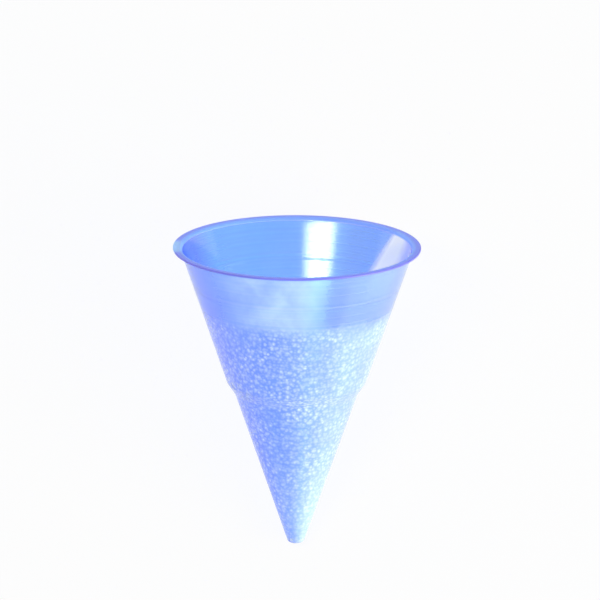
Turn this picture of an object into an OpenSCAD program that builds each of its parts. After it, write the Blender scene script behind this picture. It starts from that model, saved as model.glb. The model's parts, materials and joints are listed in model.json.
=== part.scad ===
// A translucent plastic cone cup, moulded in one piece: a flat turned-out lip, a thin
// tapered wall with a shoulder part way down, and a small blunt tip.
// A cone cup can't stand on its tip, so it lies on its side, with its lip and its tip
// touching the surface at z = 0 and its mouth towards +Y. Lengths are in millimetres.

/* [Rim] */
// Diameter over the lip
rim_d = 75; // [60:0.5:100]
// Width of the lip, from the wall's outer face to the lip's edge
lip_w = 2.2; // [1.5:0.1:4]
// Thickness of the lip
lip_t = 0.6; // [0.4:0.05:1.2]
// Inside radius of the bend from the wall into the lip
lip_bend_r = 0.6; // [0.3:0.05:1]

/* [Wall] */
// Height from the tip's end to the top of the lip
cup_h = 93; // [85:0.5:105]
// Thickness of the wall
wall_t = 0.5; // [0.3:0.05:0.9]
// Angle between the upper wall and the cup's axis
taper = 18.9; // [17:0.1:20.5]

/* [Shoulder] */
// Height of the shoulder's foot above the tip's end
shoulder_z = 47.5; // [38:0.5:60]
// Height of the shoulder, from its foot to its top
shoulder_h = 3.5; // [2.5:0.1:6]
// How far the wall steps in at the shoulder, beyond its own taper
shoulder_step = 1.2; // [0.6:0.05:1.8]
// Inside radius of the shoulder's two bends
shoulder_r = 1.5; // [0.5:0.1:2.5]

/* [Fill line] */
// Depth of the fill line below the top of the lip
line_depth = 12; // [6:0.5:30]
// Width of the fill line along the wall
line_w = 0.6; // [0.4:0.05:1.5]
// How far the fill line stands off the wall's inner face
line_proud = 0.05; // [0.03:0.01:0.3]

/* [Tip] */
// Diameter of the tip's end, to its sharp corner
tip_d = 4.6; // [3.5:0.1:6]
// Radius that rounds the tip's corner
tip_r = 1.2; // [0.8:0.05:1.5]
// Thickness of the tip's end
tip_t = 0.9; // [0.5:0.05:1.5]

/* [Hidden] */
$fn = 180;
// Steps in each round of the section
round_steps = 10;

function unit(v) = v / norm(v);
function left_of(v) = [-v.y, v.x];

// Point at height z on the line through p that runs along v
function at_height(p, v, z) = p + v * (z - p.y) / v.y;

// Corner p between a and b, moved a distance t to the left of the way from a to b
function moved_in(a, p, b, t) =
    let (n = left_of(unit(p - a)), m = left_of(unit(b - p)))
    p + t * (n + m) / (1 + n * m);

// Centre of the round of radius r in the corner p between a and b
function round_centre(a, p, b, r) =
    let (u = unit(a - p), v = unit(b - p), half = acos(u * v) / 2)
    p + unit(u + v) * r / sin(half);

// Points along the round of radius r that replaces the corner p between a and b
function rounded(a, p, b, r) =
    let (
        c = round_centre(a, p, b, r),
        u = unit(a - p),
        v = unit(b - p),
        turn = 180 - acos(u * v),
        side = sign(u.x * v.y - u.y * v.x),
        from = p + u * (u * (c - p)) - c,
        start = atan2(from.y, from.x)
    )
    [for (i = [0 : round_steps])
        let (angle = start - side * turn * i / round_steps)
        c + r * [cos(angle), sin(angle)]];

// The lip's two edges are rounded almost to a half circle
lip_edge_r = 0.45 * lip_t;
// The tip's inner corner follows the outer one, a wall's thickness inside it
tip_inner_r = max(tip_r - wall_t, wall_t / 2);

// Corners of the outer face, as [radius, height], from the tip up to the lip
function wall_radius(z) = lip_root.x - (lip_root.y - z) * tan(taper);
tip_centre = [0, 0];
tip_corner = [tip_d / 2, 0];
lip_root = [rim_d / 2 - lip_w, cup_h - lip_t];
lip_under = [rim_d / 2, cup_h - lip_t];
lip_top = [rim_d / 2, cup_h];
shoulder_foot = [wall_radius(shoulder_z) - shoulder_step, shoulder_z];
shoulder_top = [wall_radius(shoulder_z + shoulder_h), shoulder_z + shoulder_h];

// Corners of the inner face: the outer face moved in by the wall's thickness
shoulder_top_in = moved_in(shoulder_foot, shoulder_top, lip_root, wall_t);
shoulder_foot_in = moved_in(tip_corner, shoulder_foot, shoulder_top, wall_t);
lip_corner_in = at_height(shoulder_top_in, lip_root - shoulder_top, cup_h);
tip_corner_in = at_height(shoulder_foot_in, shoulder_foot - tip_corner, tip_t);
tip_centre_in = [0, tip_t];

// Low rounded ridge of the fill line, down the inner face, as one wave
function fill_line() =
    let (
        down = unit(shoulder_top_in - lip_corner_in),
        inward = -left_of(down),
        start = at_height(lip_corner_in, down, cup_h - line_depth) - down * line_w / 2
    )
    [for (i = [0 : round_steps])
        let (share = i / round_steps)
        start + down * line_w * share + inward * line_proud * (1 - cos(360 * share)) / 2];

// Half section of the cup, up its outer face, round the lip and down its inner face
function section() = concat(
    [tip_centre],
    rounded(tip_centre, tip_corner, shoulder_foot, tip_r),
    rounded(tip_corner, shoulder_foot, shoulder_top, shoulder_r),
    rounded(shoulder_foot, shoulder_top, lip_root, shoulder_r + wall_t),
    rounded(shoulder_top, lip_root, lip_under, lip_bend_r),
    rounded(lip_root, lip_under, lip_top, lip_edge_r),
    rounded(lip_under, lip_top, lip_corner_in, lip_edge_r),
    rounded(lip_top, lip_corner_in, shoulder_top_in, lip_bend_r + wall_t),
    fill_line(),
    rounded(lip_corner_in, shoulder_top_in, shoulder_foot_in, shoulder_r),
    rounded(shoulder_top_in, shoulder_foot_in, tip_corner_in, shoulder_r + wall_t),
    rounded(shoulder_foot_in, tip_corner_in, tip_centre_in, tip_inner_r),
    [tip_centre_in]
);

// Centres of the rounds that can touch the surface when the cup lies down
lip_touch = lip_under + [-lip_edge_r, lip_edge_r];
shoulder_touch = round_centre(shoulder_foot, shoulder_top, lip_root, shoulder_r + wall_t);
tip_touch = round_centre(tip_centre, tip_corner, shoulder_foot, tip_r);

// Angle between the cup's axis and a surface under the lip and a round of radius r about c
function angle_on(c, r) =
    let (way = lip_touch - c)
    atan2(way.x, way.y) - asin((r - lip_edge_r) / norm(way));

// The cup lies on its lip and its tip, or on its shoulder where that stands out further
lie_angle = min(angle_on(tip_touch, tip_r), angle_on(shoulder_touch, shoulder_r + wall_t));
// Height of the tip's centre above the surface
tip_rise = lip_touch.x * cos(lie_angle) - lip_touch.y * sin(lie_angle) + lip_edge_r;
// The cup's reach along Y from the tip's centre, to its lip and to its tip
lip_far = lip_top - [lip_edge_r, lip_edge_r];
reach_lip = lip_far.x * sin(lie_angle) + lip_far.y * cos(lie_angle) + lip_edge_r;
reach_tip = tip_touch.y * cos(lie_angle) - tip_touch.x * sin(lie_angle) - tip_r;

// Lays an upright cup, with its tip at the origin, on its side
module laid_down() {
    translate([0, -(reach_lip + reach_tip) / 2, tip_rise])
        rotate([lie_angle - 90, 0, 0])
            children();
}

module cone_cup() {
    color("cornflowerblue", 0.5)
        laid_down()
            rotate_extrude()
                polygon(section());
}

cone_cup();
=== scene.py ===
# %% [markdown]
# A cone cup in clear blue plastic
#
# The real object is a small drinking cup, moulded in one shot from clear plastic with a blue tint: a
# flat lip turned out at the mouth, a thin tapered wall with a shoulder half way down, and a blunt tip.
# It can't stand on the tip, so it lies on its side with its lip and its tip on the surface. The packed
# solid already has the right shape and place. It is made of loose triangles, though, and a glossy
# see-through wall shows every facet, so this lesson turns a smooth copy of the same section and then
# spends its care on the plastic, the light and the view.

# %% Load the frame
import json
import math
import bmesh
import bpy
from mathutils import Matrix, Vector


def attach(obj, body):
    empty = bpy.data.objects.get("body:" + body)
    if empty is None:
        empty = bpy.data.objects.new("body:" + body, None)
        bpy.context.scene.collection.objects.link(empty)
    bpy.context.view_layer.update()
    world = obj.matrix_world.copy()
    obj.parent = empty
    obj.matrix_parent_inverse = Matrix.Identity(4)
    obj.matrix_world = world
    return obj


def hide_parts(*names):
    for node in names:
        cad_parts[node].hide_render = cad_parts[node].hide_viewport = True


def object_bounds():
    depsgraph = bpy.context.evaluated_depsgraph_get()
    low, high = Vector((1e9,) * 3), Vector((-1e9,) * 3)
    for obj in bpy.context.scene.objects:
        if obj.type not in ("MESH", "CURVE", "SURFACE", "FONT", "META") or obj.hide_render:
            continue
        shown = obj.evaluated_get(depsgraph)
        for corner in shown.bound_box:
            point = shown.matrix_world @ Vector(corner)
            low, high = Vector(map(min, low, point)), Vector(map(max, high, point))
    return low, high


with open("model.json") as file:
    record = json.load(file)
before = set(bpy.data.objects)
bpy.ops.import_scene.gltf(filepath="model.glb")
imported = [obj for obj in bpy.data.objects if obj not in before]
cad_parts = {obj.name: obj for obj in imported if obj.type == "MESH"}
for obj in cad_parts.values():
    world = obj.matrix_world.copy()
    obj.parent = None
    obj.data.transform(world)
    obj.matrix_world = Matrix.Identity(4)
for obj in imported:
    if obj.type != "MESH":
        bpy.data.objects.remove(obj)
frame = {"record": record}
cad_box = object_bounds()
lip_face = next(m for m in frame["record"]["mounts"] if m["name"] == "lip_face")
cup_axis = Vector(lip_face["axis"]).normalized()
print("CAD box:", [tuple(round(v, 4) for v in corner) for corner in cad_box], "axis:", cup_axis)

# %% [markdown]
# The section of the wall
#
# A cup like this is a solid of revolution, so everything about its shape is in one half section. The
# section could be drawn point by point, but a maker thinks of it as a few straight runs that meet at
# corners, with a radius at each corner. So the corners are placed first, as radius and height above
# the tip, and the inner corners are the outer ones moved in by the wall's thickness.

# %% Sizes of the cup, in metres
MM = 0.001
RIM_D = 75 * MM
LIP_W = 2.2 * MM
LIP_T = 0.6 * MM
CUP_H = 93 * MM
WALL_T = 0.5 * MM
TAPER = math.radians(18.9)
SHOULDER_Z = 47.5 * MM
SHOULDER_H = 3.5 * MM
SHOULDER_STEP = 1.2 * MM
FILL_LINE_DEPTH = 12 * MM
FILL_LINE_W = 0.6 * MM
FILL_LINE_PROUD = 0.05 * MM
TIP_D = 4.6 * MM
TIP_T = 0.9 * MM
print("cup:", round(RIM_D / MM), "mm over the lip,", round(CUP_H / MM), "mm high")


# %% Helpers for straight runs
def moved_in(before, corner, after, distance):
    """The corner moved a distance to the left of the way from before to after."""
    first, second = (corner - before).normalized(), (after - corner).normalized()
    n, m = Vector((-first.y, first.x)), Vector((-second.y, second.x))
    return corner + (n + m) * (distance / (1 + n.dot(m)))


def at_height(point, way, z):
    """The point at height z on the line through point that runs along way."""
    return point + way * ((z - point.y) / way.y)


def wall_radius(z):
    """Radius of the upper wall's outer face at height z."""
    return lip_root.x - (lip_root.y - z) * math.tan(TAPER)


# %% Corners of the outer face, as radius and height
tip_centre = Vector((0, 0))
tip_corner = Vector((TIP_D / 2, 0))
lip_root = Vector((RIM_D / 2 - LIP_W, CUP_H - LIP_T))
lip_under = Vector((RIM_D / 2, CUP_H - LIP_T))
lip_top = Vector((RIM_D / 2, CUP_H))
shoulder_foot = Vector((wall_radius(SHOULDER_Z) - SHOULDER_STEP, SHOULDER_Z))
shoulder_top = Vector((wall_radius(SHOULDER_Z + SHOULDER_H), SHOULDER_Z + SHOULDER_H))
print("shoulder, mm:", [tuple(round(v / MM, 2) for v in c) for c in (shoulder_foot, shoulder_top)])

# %% Corners of the inner face
shoulder_top_in = moved_in(shoulder_foot, shoulder_top, lip_root, WALL_T)
shoulder_foot_in = moved_in(tip_corner, shoulder_foot, shoulder_top, WALL_T)
lip_corner_in = at_height(shoulder_top_in, lip_root - shoulder_top, CUP_H)
tip_corner_in = at_height(shoulder_foot_in, shoulder_foot - tip_corner, TIP_T)
tip_centre_in = Vector((0, TIP_T))
print("mouth, mm across at its inner corner:", round(2 * lip_corner_in.x / MM, 2))

# %% The fill line, a low ridge on the inner face
down_wall = (shoulder_top_in - lip_corner_in).normalized()
off_wall = Vector((down_wall.y, -down_wall.x))
line_middle = at_height(lip_corner_in, down_wall, CUP_H - FILL_LINE_DEPTH)
line_above = line_middle - down_wall * FILL_LINE_W / 2
line_below = line_middle + down_wall * FILL_LINE_W / 2
line_crest = line_middle + off_wall * FILL_LINE_PROUD
print("fill line, mm:", tuple(round(v / MM, 2) for v in line_crest))

# %% [markdown]
# Rounding the corners
#
# Rounds are what make moulded plastic look moulded: each one catches a thin line of light. They could
# be computed as arcs, but Blender's bevel rounds a corner of a bare chain of edges too, when it is told
# to work on vertices. Bevel asks for the distance from the corner to where the round starts, so the
# helper works that out from the radius and the corner's own angle. A small number on each vertex says
# whether it is on the drinking side, because the plastic's finish differs there later.

# %% The corners in order, each with its radius and its side
LIP_BEND_R = 0.6 * MM
LIP_EDGE_R = 0.27 * MM
SHOULDER_R = 1.5 * MM
TIP_R = 1.2 * MM
FILL_LINE_R = 1.2 * MM
OUTSIDE, INSIDE = 0.0, 1.0
corners = [
    (tip_centre, 0, OUTSIDE),
    (tip_corner, TIP_R, OUTSIDE),
    (shoulder_foot, SHOULDER_R, OUTSIDE),
    (shoulder_top, SHOULDER_R + WALL_T, OUTSIDE),
    (lip_root, LIP_BEND_R, OUTSIDE),
    (lip_under, LIP_EDGE_R, OUTSIDE),
    (lip_top, LIP_EDGE_R, OUTSIDE),
    (lip_corner_in, LIP_BEND_R + WALL_T, INSIDE),
    (line_above, FILL_LINE_R, INSIDE),
    (line_crest, FILL_LINE_R, INSIDE),
    (line_below, FILL_LINE_R, INSIDE),
    (shoulder_top_in, SHOULDER_R, INSIDE),
    (shoulder_foot_in, SHOULDER_R + WALL_T, INSIDE),
    (tip_corner_in, TIP_R - WALL_T, INSIDE),
    (tip_centre_in, 0, INSIDE),
]
print("corners:", len(corners))

# %% A chain of edges through them
section = bmesh.new()
drinking_side = section.verts.layers.float.new("drinking_side")
height_mm = section.verts.layers.float.new("height_mm")
chain = [section.verts.new((point.x, 0, point.y)) for point, _, _ in corners]
for vertex, (_, _, side) in zip(chain, corners):
    vertex[drinking_side] = side
for start, end in zip(chain, chain[1:]):
    section.edges.new((start, end))
print("chain:", len(section.edges), "edges")

# %% Round each corner with a vertex bevel
ROUND_STEPS = 8


def round_corner(bm, vertex, radius):
    """Replaces a corner of a chain of edges by a round of that radius."""
    to_ends = [edge.other_vert(vertex).co - vertex.co for edge in vertex.link_edges]
    half_angle = to_ends[0].angle(to_ends[1]) / 2
    bmesh.ops.bevel(bm, geom=[vertex], offset=radius / math.tan(half_angle), offset_type="OFFSET",
                    segments=ROUND_STEPS, profile=0.5, affect="VERTICES", material=-1)


for vertex, (_, radius, _) in zip(chain, corners):
    if radius:
        round_corner(section, vertex, radius)
print("section:", len(section.verts), "points")

# %% [markdown]
# Turning the section
#
# The real cup was moulded round a turned core, and a Screw modifier or a spin can turn the section too.
# Spin is used because the mesh is still open in bmesh. The long straight runs are cut into short ones
# first: a smooth-shaded face takes its shading from its corners, and next to a round those lean a
# little, so a run in one piece would shade as if it bulged. The points on the axis come out once per
# step, so they are merged before the normals are made to point outwards.

# %% Cut the long runs and spin
LONG_RUN = 4 * MM
TURN_STEPS = 240
SAME_POINT = 0.001 * MM
long_edges = [edge for edge in section.edges if edge.calc_length() > LONG_RUN]
for edge in long_edges:
    bmesh.ops.subdivide_edges(section, edges=[edge], cuts=int(edge.calc_length() / LONG_RUN))
bmesh.ops.spin(section, geom=section.verts[:] + section.edges[:], cent=(0, 0, 0), axis=(0, 0, 1),
               angle=math.tau, steps=TURN_STEPS, use_merge=True)
bmesh.ops.remove_doubles(section, verts=section.verts[:], dist=SAME_POINT)
bmesh.ops.recalc_face_normals(section, faces=section.faces[:])
for vertex in section.verts:
    vertex[height_mm] = vertex.co.z / MM
print("turned cup:", len(section.faces), "faces")

# %% [markdown]
# Unrolling the wall
#
# Small marks on the wall have to be as round near the tip as at the mouth. A cone unrolls flat without
# any stretch, into a fan, so its own UV map can be that fan, in millimetres: the distance from the fan's
# point is the radius over the sine of the taper, and the fan's angle is the turn round the axis times
# that sine. The fan's two straight sides meet on the side of the cup that will lie on the floor.

# %% A fan-shaped UV map
unrolled = section.loops.layers.uv.new("unrolled_mm")


def turn_of(point):
    """Turn round the cup's axis, from the side that will face up."""
    return math.atan2(point.x, -point.y)


for face in section.faces:
    middle = turn_of(face.calc_center_median())
    for loop in face.loops:
        corner = loop.vert.co
        turn = middle + math.remainder(turn_of(corner) - middle, math.tau)
        reach = math.hypot(corner.x, corner.y) / math.sin(TAPER) / MM
        angle = turn * math.sin(TAPER)
        loop[unrolled].uv = (reach * math.sin(angle), reach * math.cos(angle))
fan_length = RIM_D / 2 / math.sin(TAPER)
print("fan:", round(fan_length / MM), "mm long,", round(360 * math.sin(TAPER)), "degrees")

# %% [markdown]
# Laying it down
#
# The cup was turned upright. The lip's face in the record gives the direction that the mouth looks in,
# so the mesh is turned from straight up to that direction, and then moved until its box starts where
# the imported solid's box does. The object could be turned instead, but a piece keeps its object at the
# origin, so that patterns on it stay put, and both moves are made in the mesh.


# %% Turn the mesh and set it in the CAD box
def low_corner(bm):
    """The lowest x, y and z of a bmesh."""
    return Vector([min(v.co[i] for v in bm.verts) for i in range(3)])


lay_down = Vector((0, 0, 1)).rotation_difference(cup_axis).to_matrix()
bmesh.ops.rotate(section, verts=section.verts[:], cent=(0, 0, 0), matrix=lay_down)
tip_place = Vector(cad_box[0]) - low_corner(section)
bmesh.ops.translate(section, verts=section.verts[:], vec=tip_place)
print("tip centre at, mm:", tuple(round(v / MM, 2) for v in tip_place))

# %% The finished piece
cup_mesh = bpy.data.meshes.new("moulded_cup")
section.to_mesh(cup_mesh)
section.free()
for face in cup_mesh.polygons:
    face.use_smooth = True
cup = bpy.data.objects.new("moulded_cup", cup_mesh)
bpy.context.scene.collection.objects.link(cup)
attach(cup, "root")
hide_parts("cone_cup")
print("cup:", len(cup_mesh.vertices), "vertices")

# %% [markdown]
# The plastic
#
# Clear polystyrene is a common plastic for such cups: hard, glossy, with an index of refraction of
# 1.59. Its tint is a dye in the whole wall and not a paint on it, so most of the colour belongs to the
# volume: light loses red and green on its way through, and two walls look deeper than one. A colour on
# the surface alone would miss that. Blender asks for an absorption colour and a density, so a helper
# works both out from the tint that one thickness of wall should have.


# %% Colour and node helpers
def linear(hex_colour):
    """An sRGB hex colour as linear red, green, blue and alpha."""
    channels = [int(hex_colour[i:i + 2], 16) / 255 for i in (1, 3, 5)]
    return [c / 12.92 if c <= 0.04045 else ((c + 0.055) / 1.055) ** 2.4 for c in channels] + [1]


def add_node(tree, kind, inputs=None, **settings):
    """Adds a node. Each input is a socket's name or number, with a value, an output or a node."""
    made = tree.nodes.new(kind)
    for name, value in settings.items():
        setattr(made, name, value)
    for name, value in (inputs or {}).items():
        if isinstance(value, bpy.types.Node):
            value = value.outputs[0]
        if isinstance(value, bpy.types.NodeSocket):
            tree.links.new(value, made.inputs[name])
        else:
            made.inputs[name].default_value = value
    return made


def new_tree(material_name):
    """A material with an empty node tree."""
    material = bpy.data.materials.new(material_name)
    material.use_nodes = True
    material.node_tree.nodes.clear()
    return material, material.node_tree


# %% The dye in the wall
WALL_TINT = "#afd2fc"


def dye(tint, thickness):
    """Absorption colour and density that give a wall of that thickness that tint."""
    losses = [-math.log(c) / thickness for c in linear(tint)[:3]]
    density = max(losses)
    return [1 - loss / density for loss in losses] + [1], density


dye_colour, dye_density = dye(WALL_TINT, WALL_T)
print("dye:", [round(c, 3) for c in dye_colour[:3]], round(dye_density), "per metre")

# %% [markdown]
# Where the finish changes
#
# The wall isn't the same all over. Below a tide line it is wet and beaded. The lip is thicker than the
# wall and seen edge on, so it looks deeper, and that depth is painted into its colour as painted shade.
# One side is painted paler than the other, as painted light from that side. The painted cloud of light on
# the dry band is fainter on the half that lies down than on the half that faces up, and the painted
# highlight inside the mouth is only on the half that lies down. Such masks could be painted by hand, but
# they follow the cup's own form, so they are worked out from it: from the height that was stored on the
# mesh, from the place across the cup as a share of the wall's radius there, and from the distance off the
# cup's axis.
# A little noise on the height keeps the tide line from being ruled.

# %% What the finish reads from the mesh
plastic, tree = new_tree("clear_blue_polystyrene")
place = add_node(tree, "ShaderNodeTexCoord").outputs["Object"]
on_wall = add_node(tree, "ShaderNodeUVMap", uv_map="unrolled_mm")
height = add_node(tree, "ShaderNodeAttribute", attribute_name="height_mm").outputs["Fac"]
inside = add_node(tree, "ShaderNodeAttribute", attribute_name="drinking_side").outputs["Fac"]
outside = add_node(tree, "ShaderNodeMath", {0: 1.0, 1: inside}, operation="SUBTRACT")
print("read from the mesh:", [layer.name for layer in cup_mesh.attributes if layer.name[0] != "."])

# %% The rim and the tide line, by height
RIM_FROM_MM, RIM_FULL_MM = 91.9, 92.3
TIDE_MM = 74.4
TIDE_WANDER_MM = 5.0
TIDE_SOFT_MM = 1.0
WANDER_SIZE = 6 * MM
rim = add_node(tree, "ShaderNodeMapRange", {
    "Value": height, "From Min": RIM_FROM_MM, "From Max": RIM_FULL_MM})
wander = add_node(tree, "ShaderNodeTexNoise", {
    "Vector": place, "Scale": 1 / WANDER_SIZE, "Detail": 2.0})
ragged = add_node(tree, "ShaderNodeMath", {
    0: wander, 1: TIDE_WANDER_MM, 2: height}, operation="MULTIPLY_ADD")
wet = add_node(tree, "ShaderNodeMapRange", {
    "Value": ragged, "From Min": TIDE_MM + TIDE_WANDER_MM, "From Max": TIDE_MM - TIDE_SOFT_MM},
    interpolation_type="SMOOTHSTEP")
dry = add_node(tree, "ShaderNodeMath", {0: 1.0, 1: wet}, operation="SUBTRACT")
print("tide line:", round(CUP_H / MM - TIDE_MM, 1), "mm below the lip")

# %% Across the cup, and the half that lies down
UNDER_SOFT = 2 * MM
over_lip = Vector((1, 0, 0)).cross(cup_axis)
axis_lift = tip_place.dot(over_lip)
along_x = add_node(tree, "ShaderNodeSeparateXYZ", {0: place}).outputs["X"]
radius = add_node(tree, "ShaderNodeMath", {
    0: height, 1: math.tan(TAPER) * MM, 2: TIP_D / 2}, operation="MULTIPLY_ADD")
sideways = add_node(tree, "ShaderNodeMath", {0: along_x, 1: radius}, operation="DIVIDE")
lift = add_node(tree, "ShaderNodeVectorMath", {0: place, 1: over_lip}, operation="DOT_PRODUCT")
off_axis = add_node(tree, "ShaderNodeMath", {
    0: lift.outputs["Value"], 1: axis_lift}, operation="SUBTRACT")
under = add_node(tree, "ShaderNodeMapRange", {
    "Value": off_axis, "From Min": UNDER_SOFT, "From Max": -UNDER_SOFT})
print("axis at, mm along the way over the lip:", round(axis_lift / MM, 2))

# %% [markdown]
# Beads
#
# Small round beads of moisture cling to the wet wall, one to two millimetres apart. Modelled one by one
# they would be thousands of lenses. A Voronoi texture scatters points instead, and the distance to the
# nearest point rises from the middle of a bead to the gap between beads. It lies on the unrolled map in
# two dimensions, because the wall would cut a solid texture at a slant, into beads of odd shapes. Two
# sizes together look like a real crowd. Each cell's own random colour makes some beads plumper than
# others and gives a few of them a bright core.

# %% Two sizes of bead, as spacing in millimetres and part of the relief
BEAD_SIZES_MM = ((1.75, 0.6), (1.05, 0.4))
BEAD_SCATTER = 0.85
PLUMP_FROM, PLUMP_TO = 0.25, 0.75
PLUMP_LEAST, PLUMP_MOST = 0.7, 1.15
BEAD_FOOT, BEAD_TOP = 0.62, 0.1
# The bright core on some beads is a painted glint, a painted highlight.
CORE_FOOT, CORE_TOP = 0.3, 0.08
CORE_FROM, CORE_TO = 0.5, 0.75
beads, painted_glints = 0.0, 0.0
for spacing, part in BEAD_SIZES_MM:
    cell = add_node(tree, "ShaderNodeTexVoronoi", {
        "Vector": on_wall, "Scale": 1 / spacing, "Randomness": BEAD_SCATTER}, voronoi_dimensions="2D")
    plump = add_node(tree, "ShaderNodeMapRange", {
        "Value": cell.outputs["Color"], "From Min": PLUMP_FROM, "From Max": PLUMP_TO,
        "To Min": PLUMP_LEAST, "To Max": PLUMP_MOST})
    off_core = add_node(tree, "ShaderNodeMath", {
        0: cell.outputs["Distance"], 1: plump}, operation="DIVIDE")
    dome = add_node(tree, "ShaderNodeMapRange", {
        "Value": off_core, "From Min": BEAD_FOOT, "From Max": BEAD_TOP},
        interpolation_type="SMOOTHSTEP")
    core = add_node(tree, "ShaderNodeMapRange", {
        "Value": off_core, "From Min": CORE_FOOT, "From Max": CORE_TOP})
    bright = add_node(tree, "ShaderNodeMapRange", {
        "Value": cell.outputs["Color"], "From Min": CORE_FROM, "From Max": CORE_TO})
    beads = add_node(tree, "ShaderNodeMath", {0: dome, 1: part, 2: beads}, operation="MULTIPLY_ADD")
    painted_glints = add_node(tree, "ShaderNodeMath", {
        0: core, 1: bright, 2: painted_glints}, operation="MULTIPLY_ADD")
print("beads:", len(BEAD_SIZES_MM), "sizes, mm apart:", [spacing for spacing, _ in BEAD_SIZES_MM])

# %% [markdown]
# Where the beads crowd
#
# Moisture gathers in patches and thins out towards the tip, and on one side the beads fade under painted
# light from that side.
# Beads could be placed by hand where they are thick. It is simpler to let them stand everywhere and to
# fade them: a slow noise gives the patches, and the masks from before give the rest.

# %% How much the beads show
CROWD_SIZE = 11 * MM
CROWD_THIN, CROWD_THICK = 0.36, 0.62
LEAST_BEADED = 0.6
# The beads fade on the side that is painted paler, as painted light from that side.
LIT_SIDE_FROM, LIT_SIDE_TO = -0.6, 0.7
BEST_BEADED, LIT_SIDE_BEADED = 1.25, 0.6
TIP_THIN_MM, TIP_THICK_MM = 8.0, 30.0
TIP_BEADED = 0.6
crowd = add_node(tree, "ShaderNodeTexNoise", {"Vector": place, "Scale": 1 / CROWD_SIZE, "Detail": 2.0})
crowd = add_node(tree, "ShaderNodeMapRange", {
    "Value": crowd, "From Min": CROWD_THIN, "From Max": CROWD_THICK})
patchy = add_node(tree, "ShaderNodeMapRange", {"Value": crowd, "To Min": LEAST_BEADED, "To Max": 1.0})
lit_side_fade = add_node(tree, "ShaderNodeMapRange", {
    "Value": sideways, "From Min": LIT_SIDE_FROM, "From Max": LIT_SIDE_TO,
    "To Min": BEST_BEADED, "To Max": LIT_SIDE_BEADED})
thinned = add_node(tree, "ShaderNodeMapRange", {
    "Value": height, "From Min": TIP_THIN_MM, "From Max": TIP_THICK_MM,
    "To Min": TIP_BEADED, "To Max": 1.0})
beaded = wet
for fade in (patchy, lit_side_fade, thinned):
    beaded = add_node(tree, "ShaderNodeMath", {0: beaded, 1: fade}, operation="MULTIPLY")
print("patches:", round(CROWD_SIZE / MM), "mm across")

# %% [markdown]
# Relief
#
# A moulded wall is never quite true. The mould was turned on a lathe, which leaves faint rings, and the
# thin wall waves a little as it cools. These are too shallow to model: less than a tenth of a millimetre.
# So beads, rings and waves are added up as heights in metres, and one Bump node with a distance of one
# metre takes them all. A lathe's own marks are finer than a pixel here, so the rings are drawn as coarse
# as they need to be to show: six of them in five millimetres.

# %% Beads, rings and waves as one height
BEAD_RISE = 0.05 * MM
RING_RISE = 0.0022 * MM
WAVE_RISE = 0.08 * MM
RING_SPACING_MM = 5 / 6
WAVE_SIZE = 14 * MM
rings = add_node(tree, "ShaderNodeTexNoise", {
    "W": height, "Scale": 1 / RING_SPACING_MM, "Detail": 3.0}, noise_dimensions="1D")
waves = add_node(tree, "ShaderNodeTexNoise", {"Vector": place, "Scale": 1 / WAVE_SIZE, "Detail": 1.0})
relief = add_node(tree, "ShaderNodeMath", {0: beads, 1: beaded}, operation="MULTIPLY")
relief = add_node(tree, "ShaderNodeMath", {0: relief, 1: BEAD_RISE}, operation="MULTIPLY")
for pattern, rise in ((rings, RING_RISE), (waves, WAVE_RISE)):
    relief = add_node(tree, "ShaderNodeMath", {
        0: pattern, 1: rise, 2: relief}, operation="MULTIPLY_ADD")
bump = add_node(tree, "ShaderNodeBump", {"Strength": 1.0, "Distance": 1.0, "Height": relief})
print("rings:", round(RING_SPACING_MM, 2), "mm apart, waves:", round(WAVE_SIZE / MM), "mm long")

# %% [markdown]
# Mist
#
# The cup is cold and its outer face is misted over, which scatters light: a thin even film above the tide
# line, a thicker one below it, and on the beads a pale spot each with clearer gaps between. A milky
# volume could give that, but it would need many more samples. In the shader the mist is the share of the
# light that isn't transmitted, so the plastic under it keeps its own colour. The same share also carries
# painted light: one side painted paler, painted glints on some beads, a painted cloud of light on the dry
# band and a painted highlight inside the mouth.

# %% The film on the outer face, and painted light on one side
MIST = 0.27
WET_MIST = 0.16
CROWD_MIST = 0.14
# One side is painted paler: painted light from that side, added to the film.
PAINTED_SIDE_LIGHT = 0.08
ONE_SIDE_FULL = 0.7
film = add_node(tree, "ShaderNodeMapRange", {
    "Value": crowd, "To Min": WET_MIST, "To Max": WET_MIST + CROWD_MIST})
painted_side_light = add_node(tree, "ShaderNodeMapRange", {
    "Value": sideways, "From Min": 0.0, "From Max": ONE_SIDE_FULL, "To Max": PAINTED_SIDE_LIGHT})
film = add_node(tree, "ShaderNodeMath", {0: film, 1: painted_side_light}, operation="ADD")
mist_and_painted_light = add_node(tree, "ShaderNodeMath", {0: film, 1: wet, 2: MIST}, operation="MULTIPLY_ADD")
print("film:", MIST, "dry, up to", round(MIST + WET_MIST + CROWD_MIST + PAINTED_SIDE_LIGHT, 2), "wet")

# %% Spots and painted glints on the beads, a hazier tip and faint rings
BEAD_MIST = 0.12
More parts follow.
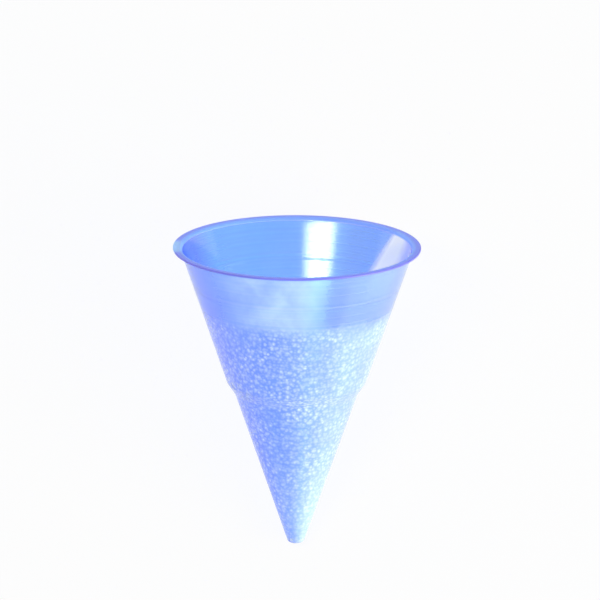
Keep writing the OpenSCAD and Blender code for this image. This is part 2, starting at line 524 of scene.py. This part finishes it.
# The painted glints add a painted highlight to the matt share.
GLINT_HIGHLIGHT = 0.16
TIP_MIST = 0.1
TIP_HAZE_FROM_MM, TIP_HAZE_FULL_MM = 35.0, 5.0
RING_LOW, RING_HIGH = 0.3, 0.7
RING_MIST = 0.018
spots = add_node(tree, "ShaderNodeMapRange", {
    "Value": beads, "To Min": -BEAD_MIST / 2, "To Max": BEAD_MIST / 2})
spots = add_node(tree, "ShaderNodeMath", {
    0: painted_glints, 1: GLINT_HIGHLIGHT, 2: spots}, operation="MULTIPLY_ADD")
mist_and_painted_light = add_node(tree, "ShaderNodeMath", {0: spots, 1: beaded, 2: mist_and_painted_light}, operation="MULTIPLY_ADD")
tip_haze = add_node(tree, "ShaderNodeMapRange", {
    "Value": height, "From Min": TIP_HAZE_FROM_MM, "From Max": TIP_HAZE_FULL_MM, "To Max": TIP_MIST})
ring = add_node(tree, "ShaderNodeMapRange", {
    "Value": rings, "From Min": RING_LOW, "From Max": RING_HIGH})
ring_haze = add_node(tree, "ShaderNodeMapRange", {
    "Value": ring, "To Min": -RING_MIST, "To Max": RING_MIST})
for haze in (tip_haze, ring_haze):
    mist_and_painted_light = add_node(tree, "ShaderNodeMath", {0: mist_and_painted_light, 1: haze}, operation="ADD")
print("a glint's middle:", round(MIST + WET_MIST + BEAD_MIST / 2 + GLINT_HIGHLIGHT, 2), "or more")

# %% [markdown]
# A painted cloud of light on the dry band
#
# Above the tide line the wall is drier. A pale cloud is painted on it as painted light, brightest a
# little off the middle, and hardly any on the half that lies down. It has no outline to model, so it is
# one noise, faded out to both sides, and it only counts where the wall is dry and on the outer face.

# %% A painted cloud of light
# The cloud is painted light: a paler patch that stands in for light on the dry band.
CLOUD_LIGHT = 0.42
CLOUD_LEAST = 0.5
CLOUD_SIZE = 7 * MM
CLOUD_LOW, CLOUD_HIGH = 0.35, 0.65
CLOUD_PLACE = -0.24
CLOUD_NONE, CLOUD_FULL = 0.6, 0.12
CLOUD_UNDER = 0.3
light_cloud = add_node(tree, "ShaderNodeTexNoise", {
    "Vector": place, "Scale": 1 / CLOUD_SIZE, "Detail": 3.0})
light_cloud = add_node(tree, "ShaderNodeMapRange", {
    "Value": light_cloud, "From Min": CLOUD_LOW, "From Max": CLOUD_HIGH,
    "To Min": CLOUD_LEAST * CLOUD_LIGHT, "To Max": CLOUD_LIGHT})
off_cloud = add_node(tree, "ShaderNodeMath", {0: sideways, 1: CLOUD_PLACE}, operation="SUBTRACT")
off_cloud = add_node(tree, "ShaderNodeMath", {0: off_cloud}, operation="ABSOLUTE")
cloud = add_node(tree, "ShaderNodeMapRange", {
    "Value": off_cloud, "From Min": CLOUD_NONE, "From Max": CLOUD_FULL},
    interpolation_type="SMOOTHSTEP")
fainter = add_node(tree, "ShaderNodeMapRange", {"Value": under, "To Min": 1.0, "To Max": CLOUD_UNDER})
for fade in (cloud, fainter):
    light_cloud = add_node(tree, "ShaderNodeMath", {0: light_cloud, 1: fade}, operation="MULTIPLY")
mist_and_painted_light = add_node(tree, "ShaderNodeMath", {0: light_cloud, 1: dry, 2: mist_and_painted_light}, operation="MULTIPLY_ADD")
mist_and_painted_light = add_node(tree, "ShaderNodeMath", {0: mist_and_painted_light, 1: outside}, operation="MULTIPLY")
print("breath: at most", round(MIST + CLOUD_LIGHT, 2), "on the dry band")

# %% [markdown]
# A painted highlight inside the mouth
#
# On one side of the mouth a highlight is painted on the inner face: a pale streak that starts at the lip,
# widens and leans as it runs down, and fades out about a third of the way to the tip. A lamp's mirror
# image could give a streak, but on this side the wall mirrors only the floor. So the streak is a painted
# highlight, mixed into the matt share, with its place and its reach given by the height.

# %% Shape of the streak
STREAK_TOP_MM, STREAK_LOW_MM = 92.0, 80.0
STREAK_PLACES = (0.925, 0.875)
STREAK_REACHES = (0.085, 0.17)
STREAK_EDGE, STREAK_FULL = -1.0, -0.4
STREAK_FADE_FROM, STREAK_FADE_TO = 0.3, 1.0
STREAK_FADED = 0.6
streak_place, streak_reach = [add_node(tree, "ShaderNodeMapRange", {
    "Value": height, "From Min": STREAK_TOP_MM, "From Max": STREAK_LOW_MM,
    "To Min": at_top, "To Max": at_low}) for at_top, at_low in (STREAK_PLACES, STREAK_REACHES)]
off_streak = add_node(tree, "ShaderNodeMath", {0: sideways, 1: streak_place}, operation="SUBTRACT")
off_streak = add_node(tree, "ShaderNodeMath", {0: off_streak, 1: streak_reach}, operation="DIVIDE")
streak = add_node(tree, "ShaderNodeMapRange", {
    "Value": off_streak, "From Min": STREAK_EDGE, "From Max": STREAK_FULL},
    interpolation_type="SMOOTHSTEP")
streak_fade = add_node(tree, "ShaderNodeMapRange", {
    "Value": off_streak, "From Min": STREAK_FADE_FROM, "From Max": STREAK_FADE_TO,
    "To Min": 1.0, "To Max": STREAK_FADED}, interpolation_type="SMOOTHSTEP")
for fade in (streak_fade, inside, under):
    streak = add_node(tree, "ShaderNodeMath", {0: streak, 1: fade}, operation="MULTIPLY")
print("streak: at", STREAK_PLACES, "of the radius")

# %% The painted highlight in the streak, the painted lip, and the clear share that is left
# The streak is a painted highlight: its matt share stands in for a reflection.
STREAK_HIGHLIGHT = 0.95
STREAK_END_MM = 66.0
# The lip is mostly matt, so that its painted shade shows.
LIP_PAINT_SHARE = 0.85
streak_highlight = add_node(tree, "ShaderNodeMapRange", {
    "Value": height, "From Min": STREAK_END_MM, "From Max": STREAK_LOW_MM, "To Max": STREAK_HIGHLIGHT})
streak_highlight = add_node(tree, "ShaderNodeMath", {0: streak_highlight, 1: streak}, operation="MULTIPLY")
lip_paint_share = add_node(tree, "ShaderNodeMath", {0: rim, 1: LIP_PAINT_SHARE}, operation="MULTIPLY")
for patch in (streak_highlight, lip_paint_share):
    mist_and_painted_light = add_node(tree, "ShaderNodeMath", {0: patch, 1: mist_and_painted_light}, operation="MAXIMUM")
clear = add_node(tree, "ShaderNodeMath", {0: 1.0, 1: mist_and_painted_light}, operation="SUBTRACT", use_clamp=True)
print("lip: lets through", round(1 - LIP_PAINT_SHARE, 2), "of the light")

# %% [markdown]
# Colour of the wall
#
# The dye gives most of the blue, but each face has a little colour of its own: the misted outer face is
# cool, and the inner face is warmer. Towards the cup's two sides, one more than the other, the inner face
# is painted violet, as painted shade of the wall seen at a slant. Beads are paler than the gaps between
# them. One picture could hold all that, but it would be tied to one size. Mixing plain colours by the
# masks keeps each of them easy to change.

# %% Wall colours, with painted shade at the sides
PLAIN = linear("#d0f4ff")
INNER = linear("#f6ecff")
RING = linear("#def6ff")
# VIOLET is painted shade towards the cup's sides.
VIOLET = linear("#e2b6ff")
VIOLET_FROM, VIOLET_TO = 0.2, 0.6
VIOLET_SHARE = 0.45
BOTH_SIDES_FROM, BOTH_SIDES_FULL = 0.8, 0.95
# Sockets of a Mix node that mixes colours
SHARE, FIRST, SECOND, MIXED = 0, 6, 7, 2
plain = add_node(tree, "ShaderNodeMix", {
    SHARE: inside, FIRST: PLAIN, SECOND: INNER}, data_type="RGBA").outputs[MIXED]
tint = add_node(tree, "ShaderNodeMix", {
    SHARE: ring, FIRST: plain, SECOND: RING}, data_type="RGBA").outputs[MIXED]
painted_side_shade = add_node(tree, "ShaderNodeMapRange", {
    "Value": sideways, "From Min": VIOLET_FROM, "From Max": VIOLET_TO, "To Max": VIOLET_SHARE},
    interpolation_type="SMOOTHSTEP")
from_middle = add_node(tree, "ShaderNodeMath", {0: sideways}, operation="ABSOLUTE")
both_sides = add_node(tree, "ShaderNodeMapRange", {
    "Value": from_middle, "From Min": BOTH_SIDES_FROM, "From Max": BOTH_SIDES_FULL})
painted_side_shade = add_node(tree, "ShaderNodeMath", {0: painted_side_shade, 1: both_sides}, operation="MAXIMUM")
painted_side_shade = add_node(tree, "ShaderNodeMath", {0: painted_side_shade, 1: inside}, operation="MULTIPLY")
tint = add_node(tree, "ShaderNodeMix", {
    SHARE: painted_side_shade, FIRST: tint, SECOND: VIOLET}, data_type="RGBA").outputs[MIXED]
print("wall colours: 4,", len(tree.nodes), "nodes so far")

# %% Bead colours, and the colour of the painted highlight
BEAD = linear("#eefdff")
GAP = linear("#a4caff")
# STREAK is the colour of the painted highlight inside the mouth.
STREAK = linear("#fffff0")
beaded_out = add_node(tree, "ShaderNodeMath", {0: beaded, 1: outside}, operation="MULTIPLY")
grain = add_node(tree, "ShaderNodeMix", {
    SHARE: beads, FIRST: GAP, SECOND: BEAD}, data_type="RGBA").outputs[MIXED]
for mask, colour in ((beaded_out, grain), (streak, STREAK)):
    tint = add_node(tree, "ShaderNodeMix", {
        SHARE: mask, FIRST: tint, SECOND: colour}, data_type="RGBA").outputs[MIXED]
print("bead and gap, linear:", [round(c, 2) for c in BEAD[:3]], [round(c, 2) for c in GAP[:3]])

# %% [markdown]
# Colour round the lip
#
# The lip is painted the deepest blue of the cup, as painted shade for the long way light runs inside it.
# Its outer edge is painted darkest, with a touch of violet, and its inner bend paler, as painted light on
# the bend. The number that tells the drinking side from the outer face runs from 0 to 1 across the lip's
# flat top, so a colour ramp on it paints the lip from edge to bend without a mask of its own. One end of
# the lip is paler than the rest: a painted highlight.

# %% Painted lip shade from the edge to the inner bend, and a painted highlight at one end
# The ramp is painted shade: darkest and violet at the outer edge, paler at the inner bend as painted
# light.
LIP_COLOURS = ((0.0, "#7e7eea"), (0.1, "#889eff"), (0.8, "#889eff"), (1.0, "#8cb4ff"))
# One end of the lip gets a painted highlight.
LIP_HIGHLIGHT = linear("#acdeff")
PALE_FROM, PALE_FULL = -33 * MM, -36.5 * MM
PALE_END_NONE, PALE_END_FULL = 9 * MM, 4 * MM
ramp = add_node(tree, "ShaderNodeValToRGB", {"Fac": inside})
stops = ramp.color_ramp.elements
while len(stops) < len(LIP_COLOURS):
    stops.new(1.0)
for stop, (position, colour) in zip(stops, LIP_COLOURS):
    stop.position, stop.color = position, linear(colour)
off_end = add_node(tree, "ShaderNodeMath", {0: off_axis}, operation="ABSOLUTE")
pale_end = add_node(tree, "ShaderNodeMapRange", {
    "Value": off_end, "From Min": PALE_END_NONE, "From Max": PALE_END_FULL},
    interpolation_type="SMOOTHSTEP")
lip_highlight = add_node(tree, "ShaderNodeMapRange", {
    "Value": along_x, "From Min": PALE_FROM, "From Max": PALE_FULL})
lip_highlight = add_node(tree, "ShaderNodeMath", {0: lip_highlight, 1: pale_end}, operation="MULTIPLY")
lip = add_node(tree, "ShaderNodeMix", {
    SHARE: lip_highlight, FIRST: ramp, SECOND: LIP_HIGHLIGHT}, data_type="RGBA").outputs[MIXED]
tint = add_node(tree, "ShaderNodeMix", {
    SHARE: rim, FIRST: tint, SECOND: lip}, data_type="RGBA").outputs[MIXED]
print("lip colours:", [(round(s.position, 2), round(s.color[2], 2)) for s in stops])

# %% [markdown]
# The shader
#
# One Principled shader takes all of it. Moulded polystyrene is glossy, a little less so on the rings,
# and the lip is duller. Glass blocks the lamps' direct light in Blender, and the way out by caustics is
# slow and noisy. So rays to the lamps pass the wall as if it were clear, and the floor and the inner
# faces stay as bright as behind thin plastic.

# %% Gloss, dye and output
POLYSTYRENE_IOR = 1.59
GLOSSIEST, DULLEST = 0.07, 0.17
RIM_DULLER = 0.4
sheen = add_node(tree, "ShaderNodeMapRange", {"Value": ring, "To Min": GLOSSIEST, "To Max": DULLEST})
sheen = add_node(tree, "ShaderNodeMath", {0: rim, 1: RIM_DULLER, 2: sheen}, operation="MULTIPLY_ADD")
surface = add_node(tree, "ShaderNodeBsdfPrincipled", {
    "Base Color": tint, "Roughness": sheen, "IOR": POLYSTYRENE_IOR, "Transmission Weight": clear,
    "Normal": bump})
dyed = add_node(tree, "ShaderNodeVolumeAbsorption", {"Color": dye_colour, "Density": dye_density})
to_lamps = add_node(tree, "ShaderNodeLightPath").outputs["Is Shadow Ray"]
let_through = add_node(tree, "ShaderNodeBsdfTransparent")
mixed = add_node(tree, "ShaderNodeMixShader", {0: to_lamps, 1: surface, 2: let_through})
add_node(tree, "ShaderNodeOutputMaterial", {"Surface": mixed, "Volume": dyed})
cup_mesh.materials.append(plastic)
print("plastic:", len(tree.nodes), "nodes")

# %% [markdown]
# The floor
#
# The cup lies on plain white paper. It has to look white to the camera and through the cup. Strong lamps
# could do that, but they would bleach the cup as well. So most of the paper glows at exactly white for
# those rays alone, and the rest is matt and takes the cup's soft shadow.

# %% A wide flat floor
FLOOR_SIDE = 6.0
floor_mesh = bpy.data.meshes.new("floor")
ground = bmesh.new()
bmesh.ops.create_grid(ground, x_segments=1, y_segments=1, size=FLOOR_SIDE / 2)
ground.to_mesh(floor_mesh)
ground.free()
floor = bpy.data.objects.new("floor", floor_mesh)
bpy.context.scene.collection.objects.link(floor)
print("floor:", FLOOR_SIDE, "m across")

# %% White paper
PAPER = linear("#d3d3d3")
WHITE = linear("#ffffff")
GLOW_SHARE = 0.92
paper, tree = new_tree("white_paper")
matt = add_node(tree, "ShaderNodeBsdfDiffuse", {"Color": PAPER})
glow = add_node(tree, "ShaderNodeEmission", {"Color": WHITE, "Strength": 1.0})
ray = add_node(tree, "ShaderNodeLightPath").outputs
seen = ray["Is Camera Ray"]
for kind in ("Is Glossy Ray", "Is Transmission Ray"):
    seen = add_node(tree, "ShaderNodeMath", {0: seen, 1: ray[kind]}, operation="MAXIMUM")
glowing = add_node(tree, "ShaderNodeMath", {0: seen, 1: GLOW_SHARE}, operation="MULTIPLY")
both = add_node(tree, "ShaderNodeMixShader", {0: glowing, 1: matt, 2: glow})
add_node(tree, "ShaderNodeOutputMaterial", {"Surface": both})
floor_mesh.materials.append(paper)
print("paper:", GLOW_SHARE, "of it glows")

# %% [markdown]
# The light
#
# A soft studio: an even pale sky all round and three softboxes. One stands overhead to the left, and
# the far wall mirrors it as a broad white stripe, with edges as soft as the lamp's own. A large one
# stands low on the right and pales that side of the wall. A weak one looks into the mouth and brightens
# the lip. Sun lamps would be simpler, but their mirror image is a point, and a glossy cup shows it.

# %% Sky
SKY = "#e6ecf5"
SKY_LEVEL = 0.42
world = bpy.data.worlds.new("studio")
bpy.context.scene.world = world
world.use_nodes = True
tree = world.node_tree
tree.nodes.clear()
sky = add_node(tree, "ShaderNodeBackground", {"Color": linear(SKY), "Strength": SKY_LEVEL})
add_node(tree, "ShaderNodeOutputWorld", {"Surface": sky})
print("sky:", SKY, "at", SKY_LEVEL)

# %% A softbox that fades towards two of its edges
LAMP_MIDDLE = 0.5
SOFT_EDGE = 0.35
mouth_centre = tip_place + cup_axis * CUP_H


def softbox(name, azimuth, rise, distance, size, radiance):
    """A rectangular lamp in that direction from the mouth, as degrees from +X and above the floor."""
    a, r = math.radians(azimuth), math.radians(rise)
    towards = Vector((math.cos(a) * math.cos(r), math.sin(a) * math.cos(r), math.sin(r)))
    light = bpy.data.lights.new(name, "AREA")
    light.shape = "RECTANGLE"
    light.size, light.size_y = size
    light.energy = radiance * math.pi * size[0] * size[1]
    light.use_nodes = True
    tree = light.node_tree
    tree.nodes.clear()
    on_lamp = add_node(tree, "ShaderNodeNewGeometry").outputs["Parametric"]
    on_lamp = add_node(tree, "ShaderNodeSeparateXYZ", {0: on_lamp})
    edge = add_node(tree, "ShaderNodeMath", {
        0: on_lamp.outputs["Y"], 1: LAMP_MIDDLE}, operation="PINGPONG")
    fade = add_node(tree, "ShaderNodeMapRange", {"Value": edge, "From Max": SOFT_EDGE},
                    interpolation_type="SMOOTHSTEP")
    glow = add_node(tree, "ShaderNodeEmission", {"Strength": fade})
    add_node(tree, "ShaderNodeOutputLight", {"Surface": glow})
    lamp = bpy.data.objects.new(name, light)
    lamp.location = mouth_centre + towards * distance
    lamp.rotation_euler = towards.to_track_quat("Z", "Y").to_euler()
    lamp.visible_camera = False
    bpy.context.scene.collection.objects.link(lamp)
    print(name, "at", tuple(round(v, 2) for v in lamp.location), "watts:", round(light.energy, 2))


# %% Three softboxes
softbox("stripe_softbox", azimuth=172, rise=66, distance=1.0, size=(0.20, 0.75), radiance=16.5)
softbox("side_softbox", azimuth=-24, rise=18, distance=1.2, size=(1.0, 0.6), radiance=15.0)
softbox("mouth_softbox", azimuth=90, rise=21, distance=1.2, size=(0.6, 0.6), radiance=3.0)

# %% [markdown]
# The camera
#
# The view looks into the mouth at a low angle, from far off with a long lens. Lying on its side, the cup
# is seen from almost straight above. The camera could be placed by hand until the picture fits. Here it
# follows from a few measures: the angle above the mouth's plane, the pixel where the middle of the mouth
# shows, the pixels in a metre there, and a slight roll.

# %% Directions of the view
IMAGE_SIDE = 600
VIEW_RISE = math.radians(15.3)
VIEW_ROLL = math.radians(0.25)
MOUTH_PIXEL = Vector((297.0, 246.7))
PIXELS_PER_M = 3311
across = Vector((1, 0, 0))
to_camera = (cup_axis * math.sin(VIEW_RISE) + over_lip * math.cos(VIEW_RISE)).normalized()
up = to_camera.cross(across).normalized()
turned = Matrix.Rotation(VIEW_ROLL, 3, to_camera)
right, up = turned @ across, turned @ up
off_centre = (Vector((IMAGE_SIDE / 2, IMAGE_SIDE / 2)) - MOUTH_PIXEL) / PIXELS_PER_M
aim = mouth_centre + right * off_centre.x - up * off_centre.y
print("looking along", tuple(round(v, 3) for v in -to_camera))

# %% A long lens
CAMERA_DISTANCE = 3.0
SENSOR_MM = 36
FAR_CLIP = 20
lens = bpy.data.cameras.new("long_lens")
lens.sensor_width = SENSOR_MM
lens.lens = SENSOR_MM * CAMERA_DISTANCE / (IMAGE_SIDE / PIXELS_PER_M)
lens.clip_end = FAR_CLIP
camera = bpy.data.objects.new("camera", lens)
axes = Matrix((right, up, to_camera)).transposed()
camera.matrix_world = Matrix.Translation(aim + to_camera * CAMERA_DISTANCE) @ axes.to_4x4()
bpy.context.scene.collection.objects.link(camera)
bpy.context.scene.camera = camera
bpy.context.scene.view_settings.view_transform = "Standard"
print("lens:", round(lens.lens), "mm")
